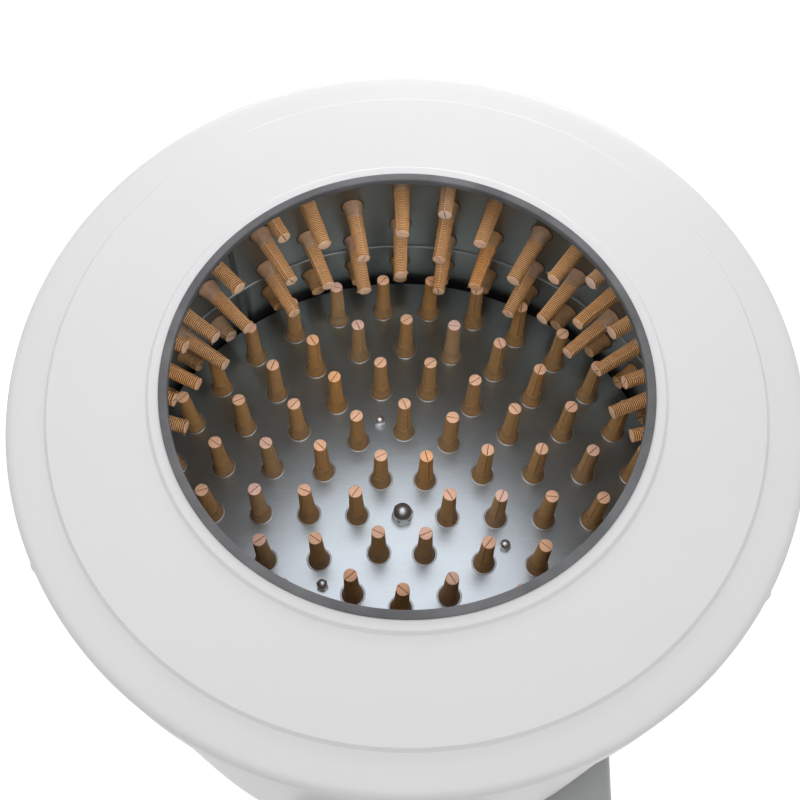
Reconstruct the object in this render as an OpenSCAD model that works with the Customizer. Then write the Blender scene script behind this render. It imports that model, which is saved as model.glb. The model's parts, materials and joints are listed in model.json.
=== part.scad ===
// Drum poultry plucker: a finger plate turns at the bottom of a finger-lined drum.
// Origin on the floor under the drive shaft, +Z up, the chute towards -Y.

/* [Drum] */
// Inner radius of the drum
drum_r = 294; // [280:1:310]
// Thickness of the drum sheet
drum_t = 1.5; // [1:0.1:2]
// Distance from the lowest full row of fingers down to the bead between the drum's two parts
bead_drop = 18; // [17:0.5:22]
// Half height of the bead
bead_r = 2; // [1.5:0.5:4]
// Height of the lap where the lower part goes round the upper part
lap_h = 6; // [4:1:7]
// Angle of the vertical seam
seam_angle = 129.3; // [120:0.1:140]
// Angle between the two columns of fingers beside the seam
seam_gap = 13.8; // [12:0.1:16]
// Width of the vertical seam
seam_w = 6; // [4:0.5:8]
// Thickness of the vertical seam
seam_t = 0.8; // [0.5:0.1:1.2]

/* [Wall fingers] */
// Columns of wall fingers
column_count = 36; // [28:4:36]
// Columns from one finger to the next in a row
row_step = 2; // [2:2:4]
// Columns from one finger to the next in the top row
top_row_step = 4; // [2:2:4]
// Height of the cut-off fingers above the plate
stub_rise = 36; // [30:1:40]
// Length of a cut-off finger
stub_len = 24; // [20:1:26]
// Distance from the plate fingers' tips up to the first row of wall fingers
row_room = 17; // [15:0.5:22]
// Distance from the first row up to the second
row_2_gap = 25; // [15:0.5:30]
// Distance from the second row up to the third
row_3_gap = 37; // [30:0.5:40]
// Distance from the third row up to the fourth
row_4_gap = 39; // [30:0.5:42]
// Distance from the fourth row up to the fifth
row_5_gap = 37; // [30:0.5:42]

/* [Finger] */
// Length of a finger in front of its sheet
finger_len = 67; // [60:1:72]
// Radius of the collar at the sheet
collar_r = 11.4; // [10.6:0.1:12]
// Radius of the collar at its end
collar_end_r = 8.4; // [8:0.1:9]
// Length of the smooth collar
collar_len = 18; // [14:1:19]
// Radius of the ribs at the collar
rib_start_r = 7.9; // [7:0.1:8.2]
// Radius of the ribs at the tip
tip_r = 6.6; // [6:0.1:7]
// Number of ribs
rib_count = 24; // [12:1:28]
// Depth of the grooves between the ribs
rib_depth = 0.6; // [0.3:0.1:0.8]
// Radius of the hole that a finger sits in
hole_r = 10; // [9:0.1:10.4]
// Radial clearance of a finger's neck in its hole
neck_gap = 0.05; // [0.02:0.01:0.2]
// Radius of the head behind the sheet
head_r = 12.6; // [12:0.1:13]
// Radius of the head's flat end
head_end_r = 7.5; // [6:0.5:9]
// Length of the head
head_len = 8; // [6:0.5:9]
// Length of the head's straight part
head_rim = 3; // [2:0.5:5]

/* [Feather plate] */
// Height of the plate's top face above the floor
plate_z = 560; // [550:1:620]
// Gap between the plate and the drum
plate_gap = 8; // [6:0.5:12]
// Thickness of the plate
plate_t = 3; // [2:0.5:4]
// Radius of the first finger ring
first_ring_r = 47.2; // [44:0.1:50]
// Distance from the last finger ring to the plate's edge
plate_margin = 36; // [33:0.5:40]
// Fingers in the first ring, and the fingers that each next ring adds
ring_step = 6; // [5:1:6]
// Angle of the plate at rest
plate_angle = 1.1; // [0:0.1:5]
// Radius of the circle of plate bolts
bolt_circle_r = 111; // [110:0.5:114]
// Angle of the first plate bolt
bolt_angle = 104.9; // [102:0.1:107]
// Radius of a plate bolt
bolt_r = 3; // [2.5:0.5:3.5]
// Height of a plate bolt's head
bolt_head_h = 4; // [3:0.5:5]
// Width across flats of a dome nut
dome_nut_flats = 11; // [10:0.5:12]
// Height of the hexagon of a dome nut
dome_nut_hex_h = 5; // [4:0.5:6]
// Width across flats of the shaft's cap nut
cap_nut_flats = 20; // [19:0.5:24]
// Height of the hexagon of the cap nut
cap_nut_hex_h = 10; // [8:0.5:12]
// Turn of the cap nut's hexagon
cap_nut_angle = 14; // [0:1:59]

/* [Cover] */
// Height of the mouth's edge trim above the plate
mouth_rise = 326; // [310:1:345]
// Radius of the cover's inner edge
mouth_r = 187.3; // [180:0.1:194]
// Width of the raised lip
lip_w = 13; // [10:0.5:16]
// Distance from the drum's wall in to the step in the cover
step_inset = 16; // [12:0.5:20]
// Thickness of the cover
cover_t = 3; // [2:0.5:4]
// Height of each step in the cover
step_h = 3; // [2:0.5:4]
// Width of each step in the cover
step_w = 2.5; // [2:0.5:4]
// Radius of the brim's edge
brim_round = 8; // [6:0.5:9]
// Height of the cover's skirt
skirt_h = 48; // [36:1:60]
// Width of the edge trim on the cover's inner edge
trim_w = 7; // [6:0.5:9]
// Thickness of the edge trim
trim_t = 1.8; // [1.2:0.1:2]
// Number of cover screws
cover_screw_count = 6; // [4:1:12]
// Radius of the cover and shell screws
screw_r = 2.5; // [2:0.5:3]
// Height of a screw's head
screw_head_h = 3; // [2:0.5:4]

/* [Shell and pan] */
// Room between the drum's wall and the outer shell, for the fingers' heads
shell_room = 12.5; // [12:0.5:26]
// Thickness of the outer shell
shell_t = 1.2; // [1:0.1:2]
// Gap between the outer shell and the cover's skirt
shell_gap = 0.5; // [0.3:0.1:1]
// Depth of the pan below the plate's top face
pan_drop = 64; // [62:1:80]
// Thickness of the pan
pan_t = 2; // [1.5:0.5:3]
// Height of the collar round the shaft
pan_collar_h = 12; // [8:1:14]
// Gap between the pan's collar and the carrier's hub
pan_collar_gap = 2; // [1:0.5:4]
// Height of the base ring's upright flange
base_ring_h = 30; // [24:1:40]
// Width of the base ring's flat flange
base_ring_w = 48; // [46:1:60]
// Thickness of the base ring
base_ring_t = 4; // [3:0.5:5]
// Number of shell screws
shell_screw_count = 8; // [6:1:12]
// Width of the feather chute inside
chute_w = 200; // [140:5:210]
// Height of the chute's mouth in the drum
chute_h = 50; // [40:1:54]
// Sheet thickness of the chute
chute_t = 1.5; // [1:0.1:2]
// Drop of the chute's outer end
chute_drop = 42; // [20:1:60]
// Reach of the chute and of the handle beyond the cover
reach = 101; // [90:1:120]

/* [Sweepers] */
// Thickness of a sweeper's blade
blade_t = 3; // [2:0.5:4]
// Gap between a sweeper and what it passes
blade_gap = 3; // [2:0.5:4]
// Angle of the first sweeper from the plate's first finger
blade_angle = 53; // [52:0.5:54]
// Width of the tabs that hold a sweeper to the plate
tab_w = 18; // [14:1:20]

/* [Drive] */
// Radius of the drive shaft
shaft_r = 12.5; // [12:0.5:15]
// Radius of the shaft's stud through the plate
stud_r = 7; // [6:0.5:8]
// Radial clearance of a shaft in its bearing
bearing_gap = 0.05; // [0.02:0.01:0.1]
// Radius of the plate carrier
carrier_r = 128; // [124:1:130]
// Thickness of the plate carrier
carrier_t = 10; // [9:0.5:11]
// Radial thickness of the carrier's and the pulley's hubs
hub_wall = 18; // [14:1:22]
// Height of the carrier's hub
hub_h = 30; // [24:1:36]
// Height of the bearing housings
bearing_h = 28; // [24:1:34]
// Thickness of the bearings' square flange
bearing_flange_t = 13; // [10:0.5:15]
// Width of the bearings' square flange
bearing_w = 95; // [92:1:100]
// Radius of the bearings' housing at the flange
bearing_housing_r = 38; // [36:0.5:40]
// Draft of the bearings' housing
bearing_draft = 5; // [2:0.5:8]
// Spacing of the bearing bolts
bearing_bolt_pitch = 72; // [70:1:74]
// Radius of a bearing bolt
bearing_bolt_r = 5; // [4:0.5:5.5]
// Width across flats of a bearing bolt's head
bearing_bolt_flats = 17; // [15:0.5:18]
// Height of a bearing bolt's head
bearing_bolt_head_h = 7; // [5:0.5:8]
// Radius of the driven pulley
big_pulley_r = 150; // [130:1:155]
// Radius of the motor pulley
small_pulley_r = 30; // [28:1:40]
// Width of the pulleys
pulley_w = 26; // [22:1:30]
// Thickness of the driven pulley's web
web_t = 8; // [6:0.5:12]
// Radial thickness of the driven pulley's rim
rim_wall = 8; // [6:0.5:12]
// Radius of the holes in the driven pulley's web
web_hole_r = 26; // [18:1:30]
// Number of holes in the driven pulley's web
web_hole_count = 5; // [3:1:6]
// Distance from the lower rails' top face down to the belt
belt_drop = 33; // [30:1:40]
// Half angle of the grooves and of the belt
groove_half_angle = 18; // [16:1:20]
// Distance between the shafts
shaft_spacing = 215; // [210:1:222]
// Thickness of the belt
belt_t = 8; // [6:0.5:9]
// Width of the belt
belt_w = 13; // [11:0.5:15]
// Running gap between the belt and its grooves
belt_gap = 0.5; // [0.4:0.1:0.6]
// Depth of the pulleys' grooves below the belt
groove_room = 3; // [2:0.5:4]

/* [Motor] */
// Radius of the motor housing
motor_r = 68; // [60:1:70]
// Height of the finned motor housing
motor_h = 150; // [130:1:150]
// Height of the motor's end bells
bell_h = 14; // [10:1:20]
// Number of cooling fins
fin_count = 28; // [16:1:36]
// Height of the cooling fins
fin_h = 7; // [4:0.5:8]
// Thickness of a cooling fin
fin_t = 3; // [2:0.5:4]
// Height of the fan cover
fan_cover_h = 42; // [30:1:44]
// Thickness of the fan cover
fan_cover_t = 2; // [1.5:0.5:3]
// Bevel of the fan cover's edge
fan_bevel = 8; // [5:0.5:12]
// Number of slots in the fan cover
slot_count = 12; // [8:1:16]
// Width of a slot in the fan cover
slot_w = 4; // [3:0.5:5]
// Length of a slot in the fan cover
slot_len = 32; // [24:1:36]
// Radius of the motor shaft
motor_shaft_r = 9.5; // [8:0.5:11]
// Thickness of the motor plate
motor_plate_t = 6; // [5:0.5:8]
// Gap between the motor plate and the lower beam
motor_plate_gap = 10; // [5:1:20]
// Width of the terminal box
terminal_w = 70; // [60:1:80]
// Height of the terminal box
terminal_h = 60; // [50:1:80]
// Depth of the terminal box
terminal_d = 24; // [20:1:28]

/* [Stand] */
// Width of a leg
leg_w = 35; // [30:1:36]
// Wall thickness of the square tubes
tube_t = 2; // [1.5:0.5:3]
// Distance from the base ring's edge in to the middle of a leg
leg_inset = 31; // [28:1:34]
// Width of a rail
rail_w = 30; // [25:1:32]
// Distance from the legs' tops down to the upper rails
upper_rail_drop = 30; // [30:1:50]
// Room between the motor's fan cover and the legs' tops
motor_room = 33; // [20:1:50]
// Thickness of the bearing beams
beam_t = 8; // [6:0.5:10]
// Width of the bearing beams
beam_w = 120; // [110:1:126]
// Clearance of the shaft in the bearing beams
beam_hole_gap = 4; // [2:0.5:6]
// Height of a rubber foot
foot_h = 25; // [20:1:35]
// Radius of a rubber foot
foot_r = 26; // [25:0.5:30]
// Height of a rubber foot's straight rim
foot_rim_h = 10; // [6:1:14]
// Bevel of a rubber foot's lower edge
foot_bevel = 2; // [1:0.5:4]
// Length of a rubber foot's plug in its leg
plug_len = 20; // [12:1:30]
// Radius of a wheel
wheel_r = 80; // [70:1:90]
// Width of a tyre
tyre_w = 42; // [36:1:48]
// Radial thickness of a tyre
tyre_t = 22; // [16:1:26]
// Rounding of a tyre's edges
tyre_round = 5.5; // [3:0.5:8]
// Thickness of a wheel's rim
wheel_rim_t = 6; // [4:0.5:8]
// Thickness of a wheel's web
wheel_web_t = 16; // [10:1:20]
// Radial thickness of a wheel's hub
wheel_hub_wall = 8; // [6:0.5:10]
// Radius of the holes in a wheel's web
wheel_hole_r = 7.5; // [5:0.5:9]
// Number of holes in a wheel's web
wheel_hole_count = 5; // [3:1:6]
// Radius of the axle
axle_r = 8; // [7:0.5:10]
// Gap between a wheel and what is beside it
wheel_gap = 4; // [2:0.5:6]
// Depth of an axle cap's socket
cap_depth = 6; // [4:0.5:8]
// Wall of an axle cap
cap_wall = 3; // [2:0.5:4]
// Radius of the handle's tube
handle_r = 14; // [12:0.5:16]
// Slope of the handle
handle_slope = 35; // [25:1:40]
// Distance from the legs' tops down to the handle's ends
handle_drop = 76; // [70:1:90]
// Bend radius of the handle
handle_bend = 45; // [40:1:60]
// Length of the handle's grip
grip_len = 220; // [150:5:240]
// Thickness of the handle's grip
grip_t = 3; // [2:0.5:5]

/* [Switch] */
// Width of the switch box
switch_w = 74; // [70:1:90]
// Height of the switch box
switch_h = 120; // [110:1:140]
// Depth of the switch box
switch_d = 58; // [50:1:70]
// Corner radius of the switch box and the terminal box
switch_round = 6; // [3:0.5:10]
// Gap between the shell's lower edge and the switch box
switch_gap = 30; // [15:1:60]
// Distance between the push buttons
button_pitch = 48; // [44:1:56]
// Radius of a push button
button_r = 12; // [10:0.5:14]
// Length of a push button inside the box
button_len = 12; // [10:0.5:16]
// Travel of a push button
button_travel = 4; // [3:0.5:5]
// Gap between a push button and its collar
button_gap = 0.35; // [0.3:0.05:0.5]
// Wall of a push button's collar
button_collar_wall = 4; // [3:0.5:5]
// Height of a push button's collar
button_collar_h = 6; // [4:0.5:8]
// Radius of the stop button's mushroom head
mushroom_r = 18; // [17:0.5:20]
// Height of the stop button's mushroom head
mushroom_h = 10; // [8:0.5:14]
// Height of the mushroom head's rim under its dome
mushroom_rim = 4; // [2:0.5:6]
// Width across flats of the cable gland
gland_flats = 20; // [18:0.5:24]
// Length of the cable gland
gland_len = 18; // [15:0.5:24]
// Height of each hexagon on the cable gland
gland_hex_h = 6; // [4:0.5:7]
// Radius of the cable gland's hole
gland_hole_r = 4; // [3:0.5:5]

/* [Hidden] */
$fn = 64;
finger_fn = 20;
wheel_fn = 96;
wide_fn = 120;
cover_fn = 180;
slack = 0.1;
cut = 1;
full_turn = 360;
// Corner radius of a hexagon that is 1 across its flats
hex_corner = 1 / sqrt(3);
row_count = 5;
ring_count = 5;
plate_bolt_count = 3;

drum_out_r = drum_r + drum_t;
plate_r = drum_r - plate_gap;
ring_pitch = (plate_r - plate_margin - first_ring_r) / (ring_count - 1);
shell_in_r = drum_r + shell_room;
shell_out_r = shell_in_r + shell_t;
cover_r = shell_out_r + shell_gap + cover_t;
lip_r = mouth_r + lip_w;
step_r = drum_r - step_inset;

mouth_z = plate_z + mouth_rise;
lip_z = mouth_z - trim_t;
flat_z = lip_z - step_h;
brim_z = flat_z - step_h;
drum_top_z = brim_z - cover_t;
row_1_rise = finger_len + row_room;
row_2_rise = row_1_rise + row_2_gap;
row_3_rise = row_2_rise + row_3_gap;
row_4_rise = row_3_rise + row_4_gap;
row_rises = [row_1_rise, row_2_rise, row_3_rise, row_4_rise, row_4_rise + row_5_gap];
column_pitch = (full_turn - seam_gap) / (column_count - 1);
column_start = seam_angle - seam_gap / 2;
bead_z = plate_z + row_1_rise - bead_drop;
plate_bottom_z = plate_z - plate_t;
pan_z = plate_z - pan_drop;
pan_bottom_z = pan_z - pan_t;
leg_top_z = pan_bottom_z - base_ring_t;
shell_bottom_z = leg_top_z - base_ring_h;
shell_top_z = brim_z - brim_round;
carrier_bottom_z = plate_bottom_z - carrier_t;
upper_rail_z = leg_top_z - upper_rail_drop;
lower_rail_z = leg_top_z - motor_room - fan_cover_h - motor_h - motor_plate_t;
lower_beam_z = lower_rail_z + beam_t;
belt_z = lower_rail_z - belt_drop;
shaft_bottom_z = belt_z - pulley_w;
motor_z = lower_rail_z + motor_plate_t;

base_ring_r = shell_in_r - slack;
leg_pos = (base_ring_r - leg_inset) / sqrt(2);
leg_face = leg_pos + leg_w / 2;
rail_len = 2 * leg_pos - leg_w;
beam_len = 2 * leg_pos + rail_w;
hub_r = shaft_r + hub_wall;
groove_depth = belt_t + groove_room;
groove_slope = tan(groove_half_angle);
motor_y = shaft_spacing;
fan_cover_r = motor_r + fin_h;
axle_z = wheel_r;
wheel_x = leg_face + wheel_gap;
axle_len = 2 * (wheel_x + tyre_w + wheel_gap + cap_depth);
rear_leg_bottom_z = axle_z - leg_w;
half_depth = cover_r + reach;
handle_y = half_depth - handle_r - grip_t;
handle_z = leg_top_z - handle_drop + (handle_y - leg_face) * tan(handle_slope);
handle_arm = (handle_y - leg_pos) / cos(handle_slope) - handle_bend;
chute_bend_y = -cover_r;
chute_back_y = -drum_r;
switch_z = shell_bottom_z - switch_gap - switch_h / 2;
switch_y = -leg_face;
switch_face_y = switch_y - switch_d;
button_zs = [switch_z + button_pitch / 2, switch_z - button_pitch / 2];
button_pocket = button_len + button_travel + cut;
finger_seat = drum_r - sqrt(pow(drum_r, 2) - pow(collar_r, 2)) + slack / 4;
rib_pitch = (finger_len - collar_len) / rib_count;
stub_ribs = floor((stub_len - collar_len) / rib_pitch);
screw_hole_r = screw_r + slack;
bolt_hole_r = bolt_r + slack;
bearing_bolt_hole_r = bearing_bolt_r + slack;
stud_hole_r = stud_r + slack;

// Shapes shared by several pieces

function reversed(list) = [for (i = [len(list) - 1:-1:0]) list[i]];

module ring(outer, inner, h) {
    difference() {
        cylinder(r = outer, h = h);
        translate([0, 0, -cut])
            cylinder(r = inner, h = h + 2 * cut);
    }
}

// Cutter for a round hole through a sheet from z = 0 to z = h
module through_hole(r, h) {
    translate([0, 0, -cut])
        cylinder(r = r, h = h + 2 * cut);
}

module polar(angle, r, z) {
    rotate([0, 0, angle])
        translate([r, 0, z])
            children();
}

module both_sides() {
    children();
    mirror([1, 0, 0])
        children();
}

module square_tube(w, length) {
    bore = w - 2 * tube_t;
    difference() {
        translate([-w / 2, -w / 2, 0])
            cube([w, w, length]);
        translate([-bore / 2, -bore / 2, -cut])
            cube([bore, bore, length + 2 * cut]);
    }
}

module hexagon(flats, h) {
    cylinder(r = flats * hex_corner, h = h, $fn = 6);
}

// Pan head screw whose shank points up from the underside of its head at z = 0
module pan_head_screw(length) {
    head = 2 * screw_r;
    cylinder(r = screw_r, h = length);
    rotate_extrude()
        polygon([[0, 0], [head, 0], [head, -screw_head_h / 2], [head - screw_head_h / 2, -screw_head_h],
            [0, -screw_head_h]]);
}

// Rubber fingers

function collar_curve(z0, steps) = [for (i = [0:steps])
    let (t = i / steps)
    [collar_end_r + (collar_r - collar_end_r) * pow(1 - t, 2), z0 + (collar_len - z0) * t]];

function rib_r(z) = rib_start_r + (tip_r - rib_start_r) * (z - collar_len) / (finger_len - collar_len);

function rib_curve(count) = [for (i = [0:count - 1])
    let (z = collar_len + i * rib_pitch)
    each [[rib_r(z) - rib_depth, z], [rib_r(z), z + rib_pitch / 2]]];

function finger_profile(grip, seat, count) =
    let (end_z = collar_len + count * rib_pitch, neck_r = hole_r - neck_gap)
    concat([[0, -grip - head_len], [head_end_r, -grip - head_len], [head_r, -grip - head_rim],
            [head_r, -grip], [neck_r, -grip], [neck_r, seat]],
        collar_curve(seat, 4), rib_curve(count), [[rib_r(end_z) - rib_depth, end_z], [0, end_z]]);

module finger(grip, seat, count) {
    rotate_extrude($fn = finger_fn)
        polygon(finger_profile(grip, seat, count));
}

function column_angle(i) = column_start - i * column_pitch;

// Places children on the drum's wall with their Z axis towards the drum's middle
module on_wall(rise, first, step) {
    for (i = [first:step:column_count - 1])
        polar(column_angle(i), drum_r, plate_z + rise)
            rotate([0, -90, 0])
                children();
}

// Places children at one full row: each row is a column further on than the row below
module on_row(row) {
    on_wall(row_rises[row], row % 2, row == row_count - 1 ? top_row_step : row_step)
        children();
}

module wall_fingers(row) {
    color("peru")
        on_row(row)
            finger(drum_t, finger_seat, rib_count);
}

module wall_stubs() {
    color("peru")
        on_wall(stub_rise, 0, 1)
            finger(drum_t, finger_seat, stub_ribs);
}

module wall_hole() {
    translate([0, 0, -drum_t])
        through_hole(hole_r, drum_t);
}

function ring_r(n) = first_ring_r + (n - 1) * ring_pitch;

// Places children on the plate's top face, at the fingers of one ring
module on_ring(n) {
    count = n * ring_step;
    for (i = [0:count - 1])
        polar(plate_angle + i * full_turn / count, ring_r(n), plate_z)
            children();
}

module plate_fingers(n) {
    color("peru")
        on_ring(n)
            finger(plate_t, 0, rib_count);
}

// Cover

function brim_arc(inset, steps) = [for (i = [0:steps])
    let (a = 90 - 90 * i / steps, r = brim_round - inset)
    [cover_r - brim_round + r * cos(a), brim_z - brim_round + r * sin(a)]];

function cover_curve(inset) = concat(
    [[mouth_r, lip_z - inset], [lip_r, lip_z - inset], [lip_r + step_w, flat_z - inset],
     [step_r, flat_z - inset], [step_r + step_w, brim_z - inset]],
    brim_arc(inset, 6),
    [[cover_r - inset, brim_z - skirt_h]]);

// Places children on the skirt with their Z axis towards the drum's middle
module on_skirt() {
    for (i = [0:cover_screw_count - 1])
        polar((i + 0.5) * full_turn / cover_screw_count, cover_r, brim_z - skirt_h / 2)
            rotate([0, -90, 0])
                children();
}

module top_cover() {
    color("white")
        difference() {
            rotate_extrude($fn = cover_fn)
                polygon(concat(cover_curve(0), reversed(cover_curve(cover_t))));
            on_skirt()
                through_hole(screw_hole_r, cover_t);
        }
}

module edge_trim() {
    top = lip_z + trim_t;
    bottom = lip_z - cover_t - trim_t;
    inner = mouth_r - trim_t;
    outer = inner + trim_w;
    bevel = trim_t / 2;
    color("gray")
        rotate_extrude($fn = cover_fn)
            polygon([[inner + bevel, top], [outer, top], [outer, lip_z], [mouth_r, lip_z],
                [mouth_r, lip_z - cover_t], [outer, lip_z - cover_t], [outer, bottom],
                [inner + bevel, bottom], [inner, bottom + bevel], [inner, top - bevel]]);
}

module cover_screws() {
    color("silver")
        on_skirt()
            pan_head_screw(cover_r - shell_in_r + cut);
}

// Shell, drum and pan

// Places children on the shell's lower edge with their Z axis towards the drum's middle
module on_shell() {
    for (i = [0:shell_screw_count - 1])
        polar((i + 0.5) * full_turn / shell_screw_count, shell_out_r, shell_bottom_z + base_ring_h / 2)
            rotate([0, -90, 0])
                children();
}

// Room that the chute takes where it goes through the drum and the shell
module chute_passage() {
    w = chute_w + 2 * chute_t + 2 * slack;
    translate([-w / 2, -cover_r, pan_z])
        cube([w, cover_r, chute_h + slack]);
}

module outer_shell() {
    color("white")
        difference() {
            translate([0, 0, shell_bottom_z])
                ring(shell_out_r, shell_in_r, shell_top_z - shell_bottom_z);
            chute_passage();
            on_shell()
                through_hole(screw_hole_r, shell_t);
            on_skirt()
                through_hole(screw_hole_r, cover_r - shell_in_r);
        }
}

module shell_screws() {
    color("silver")
        on_shell()
            pan_head_screw(shell_out_r - base_ring_r + base_ring_t + cut);
}

module seam_strip(z0, z1) {
    polar(seam_angle, drum_r - seam_t, z0)
        translate([0, -seam_w / 2, 0])
            cube([seam_t + drum_t / 2, seam_w, z1 - z0]);
}

module drum_upper() {
    bead_in = drum_r - bead_r;
    bevel = bead_r / 2;
    color("silver")
        difference() {
            union() {
                rotate_extrude($fn = wide_fn)
                    polygon([[drum_r, bead_z + bead_r], [drum_r, drum_top_z], [drum_out_r, drum_top_z],
                        [drum_out_r, bead_z - bead_r], [bead_in + bevel, bead_z - bead_r],
                        [bead_in, bead_z - bevel], [bead_in, bead_z + bevel],
                        [bead_in + bevel, bead_z + bead_r]]);
                seam_strip(bead_z, drum_top_z);
            }
            for (row = [0:row_count - 1])
                on_row(row)
                    wall_hole();
        }
}

module drum_lower() {
    lap_r = drum_out_r + slack / 2;
    top = bead_z - bead_r;
    color("silver")
        difference() {
            union() {
                rotate_extrude($fn = wide_fn)
                    polygon([[drum_r, pan_z], [drum_r, top], [lap_r, top], [lap_r, top + lap_h],
                        [lap_r + drum_t, top + lap_h], [lap_r + drum_t, top - lap_h],
                        [drum_out_r, top - lap_h], [drum_out_r, pan_z]]);
                seam_strip(pan_z, top);
            }
            on_wall(stub_rise, 0, 1)
                wall_hole();
            chute_passage();
        }
}

module feather_pan() {
    collar_in = hub_r + pan_collar_gap;
    color("lightgray")
        rotate_extrude()
            polygon([[collar_in, pan_bottom_z], [collar_in, pan_z + pan_collar_h],
                [collar_in + pan_t, pan_z + pan_collar_h], [collar_in + pan_t, pan_z],
                [base_ring_r, pan_z], [base_ring_r, pan_bottom_z]]);
}

// The chute's side view, level through the wall and then sloping down
module chute_solid(w, lift, h) {
    z = pan_z + lift;
    translate([-w / 2, 0, 0])
        rotate([90, 0, 90])
            linear_extrude(height = w)
                polygon([[chute_back_y, z], [chute_bend_y, z], [-half_depth, z - chute_drop],
                    [-half_depth, z - chute_drop + h], [chute_bend_y, z + h], [chute_back_y, z + h]]);
}

module feather_chute() {
    color("silver")
        difference() {
            chute_solid(chute_w + 2 * chute_t, 0, chute_h);
            chute_solid(chute_w, chute_t, chute_h);
            translate([0, 0, pan_z - cut])
                cylinder(r = drum_r, h = chute_h + 2 * cut, $fn = wide_fn);
        }
}

module base_ring() {
    inner = base_ring_r - base_ring_w;
    color("dimgray")
        difference() {
            rotate_extrude()
                polygon([[inner, leg_top_z], [inner, pan_bottom_z], [base_ring_r, pan_bottom_z],
                    [base_ring_r, shell_bottom_z], [base_ring_r - base_ring_t, shell_bottom_z],
                    [base_ring_r - base_ring_t, leg_top_z]]);
            on_shell()
                through_hole(screw_hole_r, shell_out_r - base_ring_r + base_ring_t);
        }
}

// Turning plate

module at_plate_bolts() {
    for (i = [0:plate_bolt_count - 1])
        polar(bolt_angle + i * full_turn / plate_bolt_count, bolt_circle_r, plate_z)
            children();
}

module feather_plate() {
    color("lightgray")
        difference() {
            translate([0, 0, plate_bottom_z])
                cylinder(r = plate_r, h = plate_t, $fn = wide_fn);
            for (n = [1:ring_count])
                on_ring(n)
                    translate([0, 0, -plate_t])
                        through_hole(hole_r, plate_t);
            at_plate_bolts()
                translate([0, 0, -plate_t])
                    through_hole(bolt_hole_r, plate_t);
            translate([0, 0, plate_bottom_z])
                through_hole(stud_hole_r, plate_t);
        }
}

module plate_carrier() {
    color("dimgray")
        difference() {
            union() {
                translate([0, 0, carrier_bottom_z])
                    cylinder(r = carrier_r, h = carrier_t);
                translate([0, 0, carrier_bottom_z - hub_h])
                    cylinder(r = hub_r, h = hub_h);
            }
            translate([0, 0, carrier_bottom_z - hub_h - cut])
                cylinder(r = shaft_r + bearing_gap, h = hub_h + cut);
            translate([0, 0, carrier_bottom_z])
                through_hole(stud_hole_r, carrier_t);
            for (n = [1:ring_count])
                on_ring(n)
                    translate([0, 0, -plate_t - carrier_t])
                        through_hole(head_r + cut, carrier_t);
            at_plate_bolts()
                translate([0, 0, -plate_t - carrier_t])
                    through_hole(bolt_hole_r, carrier_t);
        }
}

module plate_bolts() {
    grip = plate_t + carrier_t;
    color("silver")
        at_plate_bolts() {
            translate([0, 0, -grip])
                cylinder(r = bolt_r, h = grip + dome_nut_hex_h - cut);
            translate([0, 0, -grip - bolt_head_h])
                hexagon(dome_nut_flats, bolt_head_h);
        }
}

// Domed nut with a blind bore, standing on z = 0
module cap_nut(flats, hex_h, bore_r) {
    half = flats / 2;
    corner = flats * hex_corner;
    bevel = corner - half;
    dome_r = half - bevel / 4;
    neck_h = flats / 8;
    difference() {
        union() {
            intersection() {
                hexagon(flats, hex_h);
                rotate_extrude()
                    polygon([[0, 0], [half, 0], [corner, bevel], [corner, hex_h - bevel],
                        [half, hex_h], [0, hex_h]]);
            }
            translate([0, 0, hex_h - cut])
                cylinder(r = dome_r, h = neck_h + cut);
            translate([0, 0, hex_h + neck_h])
                intersection() {
                    sphere(r = dome_r);
                    cylinder(r = flats, h = flats);
                }
        }
        translate([0, 0, -cut])
            cylinder(r = bore_r, h = hex_h + cut);
    }
}

module dome_nuts() {
    color("gainsboro")
        at_plate_bolts()
            cap_nut(dome_nut_flats, dome_nut_hex_h, bolt_hole_r);
}

module shaft_cap_nut() {
    color("gainsboro")
        translate([0, 0, plate_z])
            rotate([0, 0, cap_nut_angle])
                cap_nut(cap_nut_flats, cap_nut_hex_h, stud_hole_r);
}

// Upright blade under the plate, held by tabs that pass between the fingers' heads
module sweeper() {
    inner = carrier_r + blade_gap;
    outer = plate_r - blade_gap;
    top = plate_bottom_z - head_len - blade_gap;
    bottom = pan_z + blade_gap;
    translate([inner, -blade_t / 2, bottom])
        cube([outer - inner, blade_t, top - bottom]);
    for (n = [3, 4])
        translate([ring_r(n) + (ring_pitch - tab_w) / 2, -blade_t / 2, top - cut])
            cube([tab_w, blade_t, plate_bottom_z - top + cut]);
}

module feather_sweepers() {
    color("dimgray")
        for (i = [0:1])
            rotate([0, 0, plate_angle + blade_angle + 180 * i])
                sweeper();
}

module drive_shaft() {
    color("silver") {
        translate([0, 0, shaft_bottom_z])
            cylinder(r = shaft_r, h = carrier_bottom_z - shaft_bottom_z);
        translate([0, 0, carrier_bottom_z])
            cylinder(r = stud_r, h = carrier_t + plate_t + cap_nut_hex_h - cut);
    }
}

// Belt drive

// Grooved pulley with its groove's middle at z = 0
module grooved_wheel(r, bore_r) {
    half = pulley_w / 2;
    mouth = belt_w / 2 + belt_gap;
    floor_half = mouth - groove_depth * groove_slope;
    rotate_extrude($fn = wheel_fn)
        polygon([[bore_r, -half], [r, -half], [r, -mouth], [r - groove_depth, -floor_half],
            [r - groove_depth, floor_half], [r, mouth], [r, half], [bore_r, half]]);
}

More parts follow.
